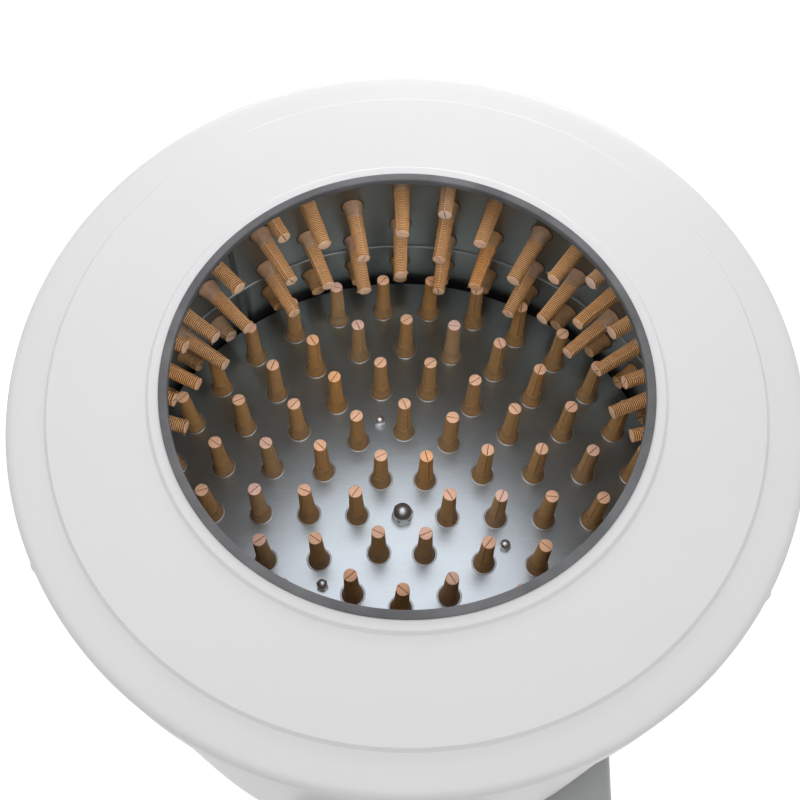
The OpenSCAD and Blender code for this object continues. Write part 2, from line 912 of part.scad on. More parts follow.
module driven_pulley() {
    rim_r = big_pulley_r - groove_depth - rim_wall;
    color("slategray")
        translate([0, 0, belt_z])
            difference() {
                grooved_wheel(big_pulley_r, shaft_r + slack / 2);
                for (s = [0, 1])
                    mirror([0, 0, s])
                        translate([0, 0, web_t / 2])
                            ring(rim_r, hub_r, pulley_w);
                for (i = [0:web_hole_count - 1])
                    polar(i * full_turn / web_hole_count, (rim_r + hub_r) / 2, -web_t / 2)
                        through_hole(web_hole_r, web_t);
            }
}

module motor_pulley() {
    color("slategray")
        translate([0, motor_y, belt_z])
            grooved_wheel(small_pulley_r, motor_shaft_r + slack / 2);
}

// Section of the V-belt, with its outer face at x = 0
module belt_section() {
    half = belt_w / 2;
    inner_half = half - belt_t * groove_slope;
    polygon([[0, -half], [0, half], [-belt_t, inner_half], [-belt_t, -inner_half]]);
}

// Arc of the belt round a pulley, centred on a direction
module belt_arc(r, middle, angle) {
    rotate([0, 0, middle - angle / 2])
        rotate_extrude(angle = angle, $fn = wide_fn)
            translate([r, 0])
                belt_section();
}

module drive_belt() {
    big = big_pulley_r - belt_gap;
    small = small_pulley_r - belt_gap;
    lean = asin((big - small) / shaft_spacing);
    color("black")
        translate([0, 0, belt_z]) {
            belt_arc(big, -90, 180 + 2 * lean);
            translate([0, motor_y, 0])
                belt_arc(small, 90, 180 - 2 * lean);
            both_sides()
                rotate([0, 0, lean])
                    translate([big, -cut, 0])
                        rotate([-90, 0, 0])
                            linear_extrude(height = shaft_spacing * cos(lean) + 2 * cut)
                                belt_section();
        }
}

module at_bearing_bolts() {
    p = bearing_bolt_pitch / 2;
    for (x = [-p, p])
        for (y = [-p, p])
            translate([x, y, 0])
                children();
}

// Square flange bearing that stands on z = 0
module bearing() {
    w = bearing_w / 2;
    difference() {
        union() {
            translate([-w, -w, 0])
                cube([bearing_w, bearing_w, bearing_flange_t]);
            cylinder(r1 = bearing_housing_r, r2 = bearing_housing_r - bearing_draft, h = bearing_h);
        }
        through_hole(shaft_r + bearing_gap, bearing_h);
        at_bearing_bolts()
            through_hole(bearing_bolt_hole_r, bearing_h);
        for (i = [0:3])
            rotate([0, 0, 45 + 90 * i])
                translate([bearing_bolt_pitch / sqrt(2) + 2 * bearing_bolt_r, -w, -cut])
                    cube([w, bearing_w, bearing_h]);
    }
}

module upper_bearing() {
    color("seagreen")
        translate([0, 0, upper_rail_z])
            mirror([0, 0, 1])
                bearing();
}

module lower_bearing() {
    color("seagreen")
        translate([0, 0, lower_beam_z])
            bearing();
}

// Bolt through a beam and a bearing's flange, with the beam's face at z = 0
module bearing_bolt() {
    translate([0, 0, -beam_t])
        cylinder(r = bearing_bolt_r, h = beam_t + bearing_flange_t + bearing_bolt_head_h + cut);
    translate([0, 0, -beam_t - bearing_bolt_head_h])
        hexagon(bearing_bolt_flats, bearing_bolt_head_h);
    translate([0, 0, bearing_flange_t])
        hexagon(bearing_bolt_flats, bearing_bolt_head_h);
}

module bearing_bolts() {
    color("silver")
        at_bearing_bolts() {
            translate([0, 0, upper_rail_z])
                mirror([0, 0, 1])
                    bearing_bolt();
            translate([0, 0, lower_beam_z])
                bearing_bolt();
        }
}

module beam(z) {
    translate([0, 0, z])
        difference() {
            translate([-beam_len / 2, -beam_w / 2, 0])
                cube([beam_len, beam_w, beam_t]);
            through_hole(shaft_r + beam_hole_gap, beam_t);
            at_bearing_bolts()
                through_hole(bearing_bolt_hole_r, beam_t);
        }
}

module upper_beam() {
    color("dimgray")
        beam(upper_rail_z);
}

module lower_beam() {
    color("dimgray")
        beam(lower_rail_z);
}

// Motor

module at_motor(z) {
    translate([0, motor_y, z])
        children();
}

module motor_plate() {
    neck = leg_pos - leg_w / 2 - cut;
    front = beam_w / 2 + motor_plate_gap;
    wide = beam_len / 2;
    color("dimgray")
        difference() {
            translate([0, 0, lower_rail_z])
                linear_extrude(height = motor_plate_t)
                    union() {
                        translate([-wide, front])
                            square([2 * wide, neck - front]);
                        translate([-neck, front])
                            square([2 * neck, motor_y + fan_cover_r - front]);
                    }
            at_motor(lower_rail_z)
                through_hole(motor_shaft_r + beam_hole_gap, motor_plate_t);
        }
}

module motor_housing() {
    color("steelblue")
        at_motor(motor_z)
            difference() {
                union() {
                    cylinder(r = motor_r, h = motor_h);
                    cylinder(r = motor_r + fin_h, h = bell_h);
                    for (i = [0:fin_count - 1])
                        rotate([0, 0, (i + 0.5) * full_turn / fin_count])
                            translate([motor_r - cut, -fin_t / 2, bell_h - cut])
                                cube([fin_h + cut, fin_t, motor_h - 2 * bell_h]);
                }
                through_hole(motor_shaft_r + bearing_gap, motor_h);
            }
}

module motor_fan_cover() {
    t = fan_cover_t;
    top = fan_cover_h;
    shoulder = fan_cover_r - fan_bevel;
    color("dimgray")
        at_motor(motor_z + motor_h)
            difference() {
                rotate_extrude()
                    polygon([[0, top], [shoulder, top], [fan_cover_r, top - fan_bevel],
                        [fan_cover_r, 0], [motor_r - t, 0], [motor_r - t, t], [fan_cover_r - t, t],
                        [fan_cover_r - t, top - fan_bevel - t], [shoulder - t, top - t], [0, top - t]]);
                for (i = [0:slot_count - 1])
                    rotate([0, 0, i * full_turn / slot_count])
                        translate([shoulder - fan_bevel - slot_len, -slot_w / 2, top - 2 * t])
                            cube([slot_len, slot_w, 3 * t]);
            }
}

module terminal_box() {
    color("dimgray")
        translate([-terminal_w / 2, motor_y + fan_cover_r + slack + terminal_d, motor_z])
            rotate([90, 0, 0])
                linear_extrude(height = terminal_d)
                    rounded_square(terminal_w, terminal_h, switch_round);
}

module motor_shaft() {
    color("silver")
        at_motor(shaft_bottom_z)
            cylinder(r = motor_shaft_r, h = motor_z + motor_h - shaft_bottom_z + 2 * fan_cover_t);
}

// Stand

module at_legs(y) {
    for (x = [-leg_pos, leg_pos])
        translate([x, y, 0])
            children();
}

module front_legs() {
    color("dimgray")
        at_legs(-leg_pos)
            translate([0, 0, foot_h])
                square_tube(leg_w, leg_top_z - foot_h);
}

module rear_legs() {
    color("dimgray")
        difference() {
            at_legs(leg_pos)
                translate([0, 0, rear_leg_bottom_z])
                    square_tube(leg_w, leg_top_z - rear_leg_bottom_z);
            along_axle(axle_len)
                cylinder(r = axle_r + bearing_gap, h = axle_len);
        }
}

module side_rails() {
    color("dimgray")
        for (x = [-leg_pos, leg_pos])
            for (z = [upper_rail_z, lower_rail_z])
                translate([x, rail_len / 2, z - rail_w / 2])
                    rotate([90, 0, 0])
                        square_tube(rail_w, rail_len);
}

module cross_rails() {
    color("dimgray")
        for (z = [upper_rail_z, lower_rail_z])
            translate([-rail_len / 2, -leg_pos, z - rail_w / 2])
                rotate([90, 0, 90])
                    square_tube(rail_w, rail_len);
}

module rubber_feet() {
    color("black")
        at_legs(-leg_pos) {
            rotate_extrude()
                polygon([[0, 0], [foot_r - foot_bevel, 0], [foot_r, foot_bevel], [foot_r, foot_rim_h],
                    [leg_w / 2, foot_h], [0, foot_h]]);
            translate([0, 0, foot_h - cut])
                cylinder(r = leg_w / 2 - tube_t - slack, h = plug_len + cut);
        }
}

// Places children on the axle's line, a length centred on the machine's middle
module along_axle(length) {
    translate([-length / 2, leg_pos, axle_z])
        rotate([0, 90, 0])
            children();
}

module axle() {
    color("silver")
        along_axle(axle_len)
            cylinder(r = axle_r, h = axle_len);
}

module axle_caps() {
    color("black")
        both_sides()
            translate([axle_len / 2 - cap_depth, leg_pos, axle_z])
                rotate([0, 90, 0])
                    difference() {
                        cylinder(r = axle_r + cap_wall, h = cap_depth + cap_wall);
                        translate([0, 0, -cut])
                            cylinder(r = axle_r, h = cap_depth + cut);
                    }
}

module at_wheel(side) {
    translate([side * wheel_x, leg_pos, axle_z])
        rotate([0, side * 90, 0])
            children();
}

module wheel(side) {
    rim_r = wheel_r - tyre_t;
    inner_rim_r = rim_r - wheel_rim_t;
    hub = axle_r + wheel_hub_wall;
    color("gold")
        at_wheel(side)
            difference() {
                ring(rim_r, axle_r + bearing_gap, tyre_w);
                for (s = [0, 1])
                    translate([0, 0, tyre_w / 2])
                        mirror([0, 0, s])
                            translate([0, 0, wheel_web_t / 2])
                                ring(inner_rim_r, hub, tyre_w);
                for (i = [0:wheel_hole_count - 1])
                    polar(i * full_turn / wheel_hole_count, (inner_rim_r + hub) / 2, 0)
                        through_hole(wheel_hole_r, tyre_w);
            }
}

module tyre(side) {
    rim_r = wheel_r - tyre_t;
    belly_r = (rim_r + wheel_r) / 2;
    bevel = tyre_round / 2;
    color("black")
        at_wheel(side)
            rotate_extrude($fn = wheel_fn)
                polygon([[rim_r, bevel], [belly_r, 0], [wheel_r - bevel, bevel], [wheel_r, 2 * tyre_round],
                    [wheel_r, tyre_w - 2 * tyre_round], [wheel_r - bevel, tyre_w - bevel],
                    [belly_r, tyre_w], [rim_r, tyre_w - bevel]]);
}

// Handle: a sloping tube bow, welded to the rear legs' back faces

module along_handle() {
    translate([0, handle_y, handle_z])
        rotate([handle_slope, 0, 0])
            children();
}

module push_handle() {
    bar = 2 * (leg_pos - handle_bend);
    color("dimgray")
        difference() {
            along_handle() {
                translate([-bar / 2, 0, 0])
                    rotate([0, 90, 0])
                        cylinder(r = handle_r, h = bar);
                both_sides() {
                    translate([bar / 2, -handle_bend, 0])
                        rotate_extrude(angle = 90)
                            translate([handle_bend, 0])
                                circle(r = handle_r);
                    translate([leg_pos, -handle_bend, 0])
                        rotate([90, 0, 0])
                            cylinder(r = handle_r, h = handle_arm);
                }
            }
            translate([-half_depth, leg_face - half_depth, 0])
                cube([2 * half_depth, half_depth, 2 * plate_z]);
        }
}

module handle_grip() {
    color("black")
        along_handle()
            translate([-grip_len / 2, 0, 0])
                rotate([0, 90, 0])
                    ring(handle_r + grip_t, handle_r, grip_len);
}

// Switch

module at_button(i) {
    translate([leg_pos, switch_face_y, button_zs[i]])
        rotate([90, 0, 0])
            children();
}

module rounded_square(w, h, r) {
    translate([r, 0])
        square([w - 2 * r, h]);
    translate([0, r])
        square([w, h - 2 * r]);
    for (x = [r, w - r])
        for (y = [r, h - r])
            translate([x, y])
                circle(r = r);
}

module switch_box() {
    color("gainsboro")
        difference() {
            union() {
                translate([leg_pos - switch_w / 2, switch_y, switch_z - switch_h / 2])
                    rotate([90, 0, 0])
                        linear_extrude(height = switch_d)
                            rounded_square(switch_w, switch_h, switch_round);
                for (i = [0, 1])
                    at_button(i)
                        cylinder(r = button_r + button_collar_wall, h = button_collar_h);
            }
            for (i = [0, 1])
                at_button(i)
                    translate([0, 0, -button_pocket])
                        cylinder(r = button_r + button_gap, h = button_pocket + button_collar_h + cut);
        }
}

module start_button() {
    color("green")
        at_button(0)
            translate([0, 0, -button_len])
                cylinder(r = button_r, h = button_len + button_collar_h + button_travel);
}

module stop_button() {
    head_z = button_collar_h + button_travel + cut;
    dome_h = mushroom_h - mushroom_rim;
    dome_r = (pow(mushroom_r, 2) + pow(dome_h, 2)) / (2 * dome_h);
    color("red")
        at_button(1) {
            translate([0, 0, -button_len])
                cylinder(r = button_r, h = button_len + head_z + cut);
            translate([0, 0, head_z])
                intersection() {
                    cylinder(r = mushroom_r, h = mushroom_h);
                    translate([0, 0, mushroom_h - dome_r])
                        sphere(r = dome_r);
                }
        }
}

module cable_gland() {
    r = gland_flats / 2;
    color("black")
        translate([leg_pos, switch_y - switch_d / 2, switch_z - switch_h / 2])
            mirror([0, 0, 1])
                difference() {
                    union() {
                        hexagon(gland_flats, gland_hex_h);
                        cylinder(r = r - cut, h = gland_len);
                        translate([0, 0, gland_len - 1.5 * gland_hex_h])
                            hexagon(gland_flats, gland_hex_h);
                    }
                    translate([0, 0, gland_hex_h])
                        cylinder(r = gland_hole_r, h = gland_len);
                }
}

top_cover();
edge_trim();
cover_screws();
outer_shell();
shell_screws();
drum_upper();
drum_lower();
wall_stubs();
wall_fingers(0);  // wall_fingers_1
wall_fingers(1);  // wall_fingers_2
wall_fingers(2);  // wall_fingers_3
wall_fingers(3);  // wall_fingers_4
wall_fingers(4);  // wall_fingers_5
feather_plate();
plate_fingers(1);  // plate_fingers_1
plate_fingers(2);  // plate_fingers_2
plate_fingers(3);  // plate_fingers_3
plate_fingers(4);  // plate_fingers_4
plate_fingers(5);  // plate_fingers_5
plate_carrier();
plate_bolts();
dome_nuts();
shaft_cap_nut();
feather_sweepers();
drive_shaft();
driven_pulley();
feather_pan();
feather_chute();
base_ring();
front_legs();
rear_legs();
side_rails();
cross_rails();
upper_beam();
lower_beam();
upper_bearing();
lower_bearing();
bearing_bolts();
motor_plate();
motor_housing();
motor_fan_cover();
terminal_box();
motor_shaft();
motor_pulley();
drive_belt();
push_handle();
handle_grip();
axle();
axle_caps();
wheel(-1);  // wheel_left
tyre(-1);  // tyre_left
wheel(1);  // wheel_right
tyre(1);  // tyre_right
rubber_feet();
switch_box();
start_button();
stop_button();
cable_gland();
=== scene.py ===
import json
import math
import random

import bpy
import numpy as np
from mathutils import Matrix, Vector


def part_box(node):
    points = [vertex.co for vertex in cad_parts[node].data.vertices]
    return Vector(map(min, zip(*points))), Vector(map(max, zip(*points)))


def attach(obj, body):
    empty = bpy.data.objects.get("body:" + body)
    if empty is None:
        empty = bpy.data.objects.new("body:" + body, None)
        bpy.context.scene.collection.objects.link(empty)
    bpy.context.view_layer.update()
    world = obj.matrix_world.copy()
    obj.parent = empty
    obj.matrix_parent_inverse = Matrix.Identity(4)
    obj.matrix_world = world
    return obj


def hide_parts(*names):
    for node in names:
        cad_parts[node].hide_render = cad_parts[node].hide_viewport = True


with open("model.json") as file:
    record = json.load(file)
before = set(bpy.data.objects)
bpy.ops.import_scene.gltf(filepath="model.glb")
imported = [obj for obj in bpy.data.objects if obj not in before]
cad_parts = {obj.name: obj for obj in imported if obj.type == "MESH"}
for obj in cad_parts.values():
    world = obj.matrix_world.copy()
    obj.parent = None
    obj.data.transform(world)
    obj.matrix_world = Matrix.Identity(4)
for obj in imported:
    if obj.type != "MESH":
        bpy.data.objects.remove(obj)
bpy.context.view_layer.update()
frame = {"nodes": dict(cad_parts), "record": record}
MM = 0.001

# Sizes of the CAD model, in millimetres and degrees

PLATE_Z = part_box("feather_plate")[1].z / MM
DRUM_R = 294.0
PLATE_GAP = 8.0
BEAD_RISE = 66.0
BEAD_HALF = 2.0
PAN_DROP = 64.0
SEAM_ANGLE = 129.3
SEAM_GAP = 13.8

MOUTH_R = 187.3
MOUTH_RISE = 326.0
TRIM_T = 1.8
TRIM_W = 7.0
COVER_T = 3.0
COVER_R = 311.2
LIP_R = 200.3
STEP_R = 278.0
STEP_H = 3.0
STEP_W = 2.5
BRIM_ROUND = 8.0
SKIRT_H = 48.0
MOUTH_Z = PLATE_Z + MOUTH_RISE
LIP_Z = MOUTH_Z - TRIM_T
FLAT_Z = LIP_Z - STEP_H
BRIM_Z = FLAT_Z - STEP_H

FINGER_LEN = 67.0
STUB_LEN = 24.0
COLLAR_R = 11.4
COLLAR_END_R = 8.4
COLLAR_LEN = 18.0
RIB_START_R = 7.9
TIP_R = 6.6
RIB_COUNT = 24

COLUMN_COUNT = 36
COLUMN_START = SEAM_ANGLE - SEAM_GAP / 2
COLUMN_PITCH = (360 - SEAM_GAP) / (COLUMN_COUNT - 1)
# Rows of the wall: rise above the plate, first column, step between columns
STUB_ROW = (36.0, 0, 1)
FINGER_ROWS = [(84.0, 0, 2), (109.0, 1, 2), (146.0, 0, 2), (185.0, 1, 2), (222.0, 0, 4)]

RING_COUNT = 5
RING_GROWTH = 6             # fingers that each ring has more than the one inside it
FIRST_RING_R = 47.2
LAST_RING_INSET = 36.0
RING_PITCH = (DRUM_R - PLATE_GAP - LAST_RING_INSET - FIRST_RING_R) / (RING_COUNT - 1)
PLATE_ANGLE = 1.1

# Helpers for materials


class Shader:
    """A principled material and a short way to wire nodes to it."""

    def __init__(self, name, **values):
        self.mat = bpy.data.materials.new(name)
        self.mat.use_nodes = True
        self.tree = self.mat.node_tree
        self.bsdf = self.tree.nodes["Principled BSDF"]
        for key, value in values.items():
            self.bsdf.inputs[key.replace("_", " ")].default_value = value
        self.coord = self.tree.nodes.new("ShaderNodeTexCoord").outputs["Object"]

    def node(self, kind, **values):
        """A node whose properties and inputs are set by name."""
        made = self.tree.nodes.new("ShaderNode" + kind)
        for key, value in values.items():
            if hasattr(made, key):
                setattr(made, key, value)
            else:
                made.inputs[key.replace("_", " ")].default_value = value
        return made

    def link(self, a, b):
        self.tree.links.new(a, b)

    def noise(self, scale, detail, squeeze=(1, 1, 1), roughness=0.55):
        """A noise that is some times finer along X, Y and Z."""
        mapping = self.node("Mapping", Scale=squeeze)
        self.link(self.coord, mapping.inputs["Vector"])
        made = self.node("TexNoise", Scale=scale, Detail=detail, Roughness=roughness)
        self.link(mapping.outputs["Vector"], made.inputs["Vector"])
        return made.outputs["Fac"]

    def ramp(self, value, stops):
        made = self.node("ValToRGB")
        elements = made.color_ramp.elements
        while len(elements) < len(stops):
            elements.new(0.5)
        for element, (place, colour) in zip(elements, stops):
            element.position = place
            element.color = (*colour, 1.0)
        self.link(value, made.inputs["Fac"])
        return made.outputs["Color"]

    def mottle(self, value, colour, shade, low=0.3, high=0.7):
        """A colour that drifts down to a share of itself where the value is low."""
        return self.ramp(value, [(low, tuple(c * shade for c in colour)), (high, colour)])

    def mix(self, factor, a, b, blend="MIX"):
        made = self.node("Mix", data_type="RGBA", blend_type=blend)
        for socket, value in ((made.inputs[0], factor), (made.inputs[6], a), (made.inputs[7], b)):
            if isinstance(value, bpy.types.NodeSocket):
                self.link(value, socket)
            else:
                socket.default_value = (*value, 1.0) if isinstance(value, tuple) else value
        return made.outputs[2]

    def maximum(self, a, b):
        made = self.node("Math", operation="MAXIMUM")
        self.link(a, made.inputs[0])
        self.link(b, made.inputs[1])
        return made.outputs[0]

    def spread(self, value, low, high):
        made = self.node("MapRange", To_Min=low, To_Max=high)
        self.link(value, made.inputs["Value"])
        return made.outputs["Result"]

    def bump(self, height, strength, distance):
        made = self.node("Bump", Strength=strength, Distance=distance)
        self.link(height, made.inputs["Height"])
        self.link(made.outputs["Normal"], self.bsdf.inputs["Normal"])

    def set(self, name, socket):
        self.link(socket, self.bsdf.inputs[name])


def grey(value):
    return (value, value, value)


def painted(name, colour, shade, roughness, grain, bump, coat=0.0):
    """Paint or moulded plastic: slow colour drift, fine grain in the gloss and the surface."""
    s = Shader(name, Coat_Weight=coat, Coat_Roughness=0.15)
    s.set("Base Color", s.mottle(s.noise(scale=9.0, detail=4.0), colour, shade))
    fine = s.noise(grain, detail=2.0)
    s.set("Roughness", s.spread(fine, roughness - 0.06, roughness + 0.06))
    s.bump(fine, bump, distance=0.0004)
    return s.mat


def steel(name, colour, roughness, squeeze, grain=60.0, spread=0.09, bump=0.04, metallic=1.0, painted_low_shade=None):
    """Sheet or turned steel, with its grain squeezed across the direction in which it runs.

    A last argument (low, high, share) paints shade: it darkens the colour from a height in metres down to
    that share at a lower one.
    """
    s = Shader(name, Metallic=metallic)
    shade = 0.86
    streak = s.noise(grain, 4.0, squeeze, roughness=0.65)
    cloud = s.noise(scale=5.0, detail=3.0)
    tone = s.mix(0.35, s.mottle(streak, colour, shade), s.mottle(cloud, colour, shade))
    # Painted shade, darker towards the bottom
    if painted_low_shade:
        low, high, share = painted_low_shade
        height = s.node("SeparateXYZ")
        s.link(s.coord, height.inputs["Vector"])
        place = s.node("MapRange", From_Min=low, From_Max=high)
        s.link(height.outputs["Z"], place.inputs["Value"])
        shade_ramp = s.ramp(place.outputs["Result"], [(0.0, grey(share)), (1.0, grey(1.0))])
        tone = s.mix(1.0, tone, shade_ramp, "MULTIPLY")
    s.set("Base Color", tone)
    s.set("Roughness", s.spread(streak, roughness - spread, roughness + spread))
    s.bump(streak, bump, distance=0.0002)
    return s.mat


def rubber(name, colour, roughness=0.6, grain=500.0, shine=0.35):
    """Rubber with a little dust on it."""
    s = Shader(name, Specular_IOR_Level=shine)
    dusty = tuple(min(1.0, c * 1.5 + 0.01) for c in colour)
    s.set("Base Color", s.ramp(s.noise(scale=30.0, detail=5.0), [(0.35, colour), (0.75, dusty)]))
    fine = s.noise(grain, detail=3.0)
    s.set("Roughness", s.spread(fine, roughness - 0.08, roughness + 0.12))
    s.bump(fine, strength=0.12, distance=0.0004)
    return s.mat


# Tints of single fingers, from pale pink through the plain colour to deep orange
FINGER_TINTS = [(0.0, (1.06, 1.20, 1.6)), (0.22, (0.94, 1.0, 1.18)), (0.4, (0.97, 0.97, 0.98)),
                (0.65, (1.0, 1.0, 1.0)), (1.0, (1.07, 0.95, 0.74))]


def finger_rubber(name, body, groove, collar, tip):
    """Moulded natural rubber.

    Attributes on the mesh tell grooves, collar and tip (zone) and each finger's own tone.
    """
    s = Shader(name, Specular_IOR_Level=0.3)
    zone = s.node("Attribute", attribute_name="zone")
    share = s.node("SeparateXYZ")
    s.link(zone.outputs["Vector"], share.inputs["Vector"])
    tone = s.node("Attribute", attribute_name="tone").outputs["Fac"]
    drift = s.noise(160.0, 5.0, roughness=0.6)
    base = s.mottle(drift, body, 0.8)
    # Painted shade and highlight: the groove share darkens grooves, roots and tip slots, and the tip share
    # also lights the fins of flash fingers
    base = s.mix(share.outputs["X"], base, groove)
    base = s.mix(share.outputs["Y"], base, s.mottle(drift, collar, 0.7, low=0.25))
    base = s.mix(share.outputs["Z"], base, s.mottle(drift, tip, 0.85))
    s.set("Base Color", s.mix(1.0, base, s.ramp(tone, FINGER_TINTS), "MULTIPLY"))
    fine = s.noise(scale=700.0, detail=3.0)
    s.set("Roughness", s.spread(fine, 0.48, 0.68))
    s.bump(fine, strength=0.15, distance=0.0003)
    return s.mat


# Materials

COVER_WHITE = painted("cover_white", (0.715, 0.714, 0.697), shade=0.985, roughness=0.40, grain=900.0,
                      bump=0.03)
SHELL_WHITE = painted("shell_white", (0.72, 0.718, 0.705), shade=0.98, roughness=0.38, grain=650.0,
                      bump=0.06)
IRON = painted("cast_iron", (0.115, 0.12, 0.125), shade=0.75, roughness=0.55, grain=260.0, bump=0.35)
FRAME_GREY = painted("frame_grey", (0.20, 0.205, 0.21), shade=0.92, roughness=0.42, grain=600.0, bump=0.12)
MOTOR_BLUE = painted("motor_enamel", (0.12, 0.15, 0.20), shade=0.85, roughness=0.38, grain=400.0, bump=0.10)
NYLON = painted("black_nylon", (0.03, 0.03, 0.032), shade=0.8, roughness=0.45, grain=800.0, bump=0.1)
WHEEL_GREY = painted("wheel_grey", (0.24, 0.245, 0.25), shade=0.9, roughness=0.42, grain=500.0, bump=0.1)
SWITCH_GREY = painted("switch_grey", (0.52, 0.53, 0.53), shade=0.95, roughness=0.42, grain=900.0, bump=0.1)
GREEN = painted("start_green", (0.03, 0.32, 0.08), shade=0.9, roughness=0.30, grain=700.0, bump=0.04,
                coat=0.3)
RED = painted("stop_red", (0.55, 0.025, 0.02), shade=0.9, roughness=0.28, grain=700.0, bump=0.04,
              coat=0.3)

EVEN, ALONG_X, ALONG_Y, ROUND_Z = (1, 1, 1), (1, 6, 1), (12, 1, 1), (1, 1, 14)
# Painted shade: the lower drum is the same steel as the upper, written a little darker and darkened further
# towards the plate, for the shade low in the drum
LOW_SHADE_RISE, LOW_SHADE_SHARE = 62.0, 0.38
WALL_PAINTED_LOW_SHADE = (PLATE_Z * MM, (PLATE_Z + LOW_SHADE_RISE) * MM, LOW_SHADE_SHARE)
DRUM_STEEL = steel("drum_steel", (0.27, 0.285, 0.28), 0.42, ROUND_Z)
LOWER_STEEL_PAINTED_SHADE = steel("lower_drum_steel", (0.25, 0.263, 0.258), 0.44, ROUND_Z, metallic=0.88, painted_low_shade=WALL_PAINTED_LOW_SHADE)
PLATE_STEEL = steel("plate_steel", (0.49, 0.548, 0.55), 0.30, ALONG_X, grain=90.0, spread=0.05, bump=0.015)
RIM_STEEL = steel("rim_steel", (0.84, 0.86, 0.89), 0.30, EVEN, spread=0.03, bump=0.005)
SHEET_STEEL = steel("sheet_steel", (0.55, 0.56, 0.57), 0.30, ALONG_Y)
ZINC = steel("zinc_steel", (0.62, 0.62, 0.63), 0.24, (1, 1, 3), grain=300.0)
CHROME = steel("bright_nut", (0.62, 0.64, 0.67), 0.36, EVEN, grain=400.0, spread=0.04, bump=0.01)
BRIGHT_ZINC = steel("bright_zinc", (0.92, 0.93, 0.95), 0.40, EVEN, grain=400.0, spread=0.04, bump=0.01)
TURNED = steel("turned_steel", (0.58, 0.58, 0.59), 0.24, (1, 1, 30))

TRIM_GREY = rubber("trim_grey", (0.115, 0.116, 0.118), roughness=0.5, grain=900.0, shine=0.15)
# A dark rubber for the seam strip, also used as painted shade round the roots of the wall fingers
DARK_STRIP_AND_PAINTED_SHADE = rubber("dark_strip_and_painted_shade", (0.035, 0.037, 0.038), roughness=0.45, grain=700.0)
BLACK_RUBBER = rubber("black_rubber", (0.022, 0.022, 0.023))
BELT_RUBBER = rubber("belt_rubber", (0.018, 0.018, 0.019), roughness=0.7, grain=900.0)

# One rubber for all fingers, written at three levels of brightness to balance how light falls in the drum:
# the wall fingers' colours carry painted light, the stubs' and the plate fingers' painted shade; the dark
# groove colours are painted shade in the grooves
WALL_FINGER = finger_rubber("wall_finger_rubber", body=(0.95, 0.51, 0.215), groove=(0.06, 0.025, 0.009),
                            collar=(0.56, 0.355, 0.225), tip=(0.86, 0.56, 0.375))
STUB_FINGER = finger_rubber("wall_stub_rubber", body=(0.56, 0.30, 0.115), groove=(0.10, 0.04, 0.013),
                            collar=(0.38, 0.215, 0.095), tip=(0.60, 0.36, 0.19))
PLATE_FINGER = finger_rubber("plate_finger_rubber", body=(0.50, 0.278, 0.103), groove=(0.17, 0.088, 0.032),
                             collar=(0.37, 0.208, 0.082), tip=(0.88, 0.525, 0.34))

SLOT_MATERIALS = {
    "white_cover": COVER_WHITE, "white_shell": SHELL_WHITE, "trim_rubber": TRIM_GREY, "screw_steel": ZINC,
    "drum_steel": DRUM_STEEL, "finger_rubber": WALL_FINGER, "plate_steel": SHEET_STEEL, "nut_chrome": CHROME,
    "bolt_steel": ZINC, "carrier_iron": IRON, "sweeper_rubber": BLACK_RUBBER, "shaft_steel": TURNED,
    "frame_paint": FRAME_GREY, "motor_paint": MOTOR_BLUE, "belt_rubber": BELT_RUBBER,
    "grip_rubber": BLACK_RUBBER, "black_plastic": NYLON, "wheel_plastic": WHEEL_GREY,
    "tyre_rubber": BLACK_RUBBER, "switch_plastic": SWITCH_GREY, "start_green": GREEN, "stop_red": RED,
}
NODE_MATERIALS = {"feather_plate": PLATE_STEEL, "drum_lower": LOWER_STEEL_PAINTED_SHADE, "dome_nuts": BRIGHT_ZINC}
for sub in frame["record"]["subparts"]:
    mesh = frame["nodes"][sub["node"]].data
    mesh.materials.clear()
    mesh.materials.append(NODE_MATERIALS.get(sub["node"], SLOT_MATERIALS[sub["material_slot"]]))

# Helpers for meshes


def add_piece(name, verts, faces, material, body, slot, replaced=(), smooth=True, attributes=None):
    """A mesh from points in millimetres, riding on a body and standing for the CAD nodes it replaces."""
    mesh = bpy.data.meshes.new(name)
    mesh.from_pydata((np.asarray(verts) * MM).tolist(), [], [list(f) for f in faces])
    for key, (kind, values) in (attributes or {}).items():
        data = mesh.attributes.new(key, kind, "POINT").data
        field = "vector" if kind == "FLOAT_VECTOR" else "value"
        data.foreach_set(field, np.asarray(values, np.float32).ravel())
    mesh.polygons.foreach_set("use_smooth", [smooth] * len(mesh.polygons))
    mesh.materials.append(material)
    mesh.validate()
    obj = bpy.data.objects.new(name, mesh)
    bpy.context.scene.collection.objects.link(obj)
    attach(obj, body)
    if replaced:
        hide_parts(*replaced)
    return obj


def revolve(profile, steps):
    """Vertices and quads of a closed profile [(r, z)...] turned about the Z axis."""
    profile = np.asarray(profile, float)
    count = len(profile)
    angles = np.linspace(0, 2 * math.pi, steps, endpoint=False)
    verts = np.stack([np.outer(np.cos(angles), profile[:, 0]), np.outer(np.sin(angles), profile[:, 0]),
                      np.tile(profile[:, 1], (steps, 1))], -1).reshape(-1, 3)
    faces = []
    for i in range(steps):
        j = (i + 1) % steps
        for k in range(count):
            m = (k + 1) % count
            faces.append((i * count + k, j * count + k, j * count + m, i * count + m))
    return verts, faces


CORNER_SHARE = 0.49         # most of a side that one rounded corner takes up


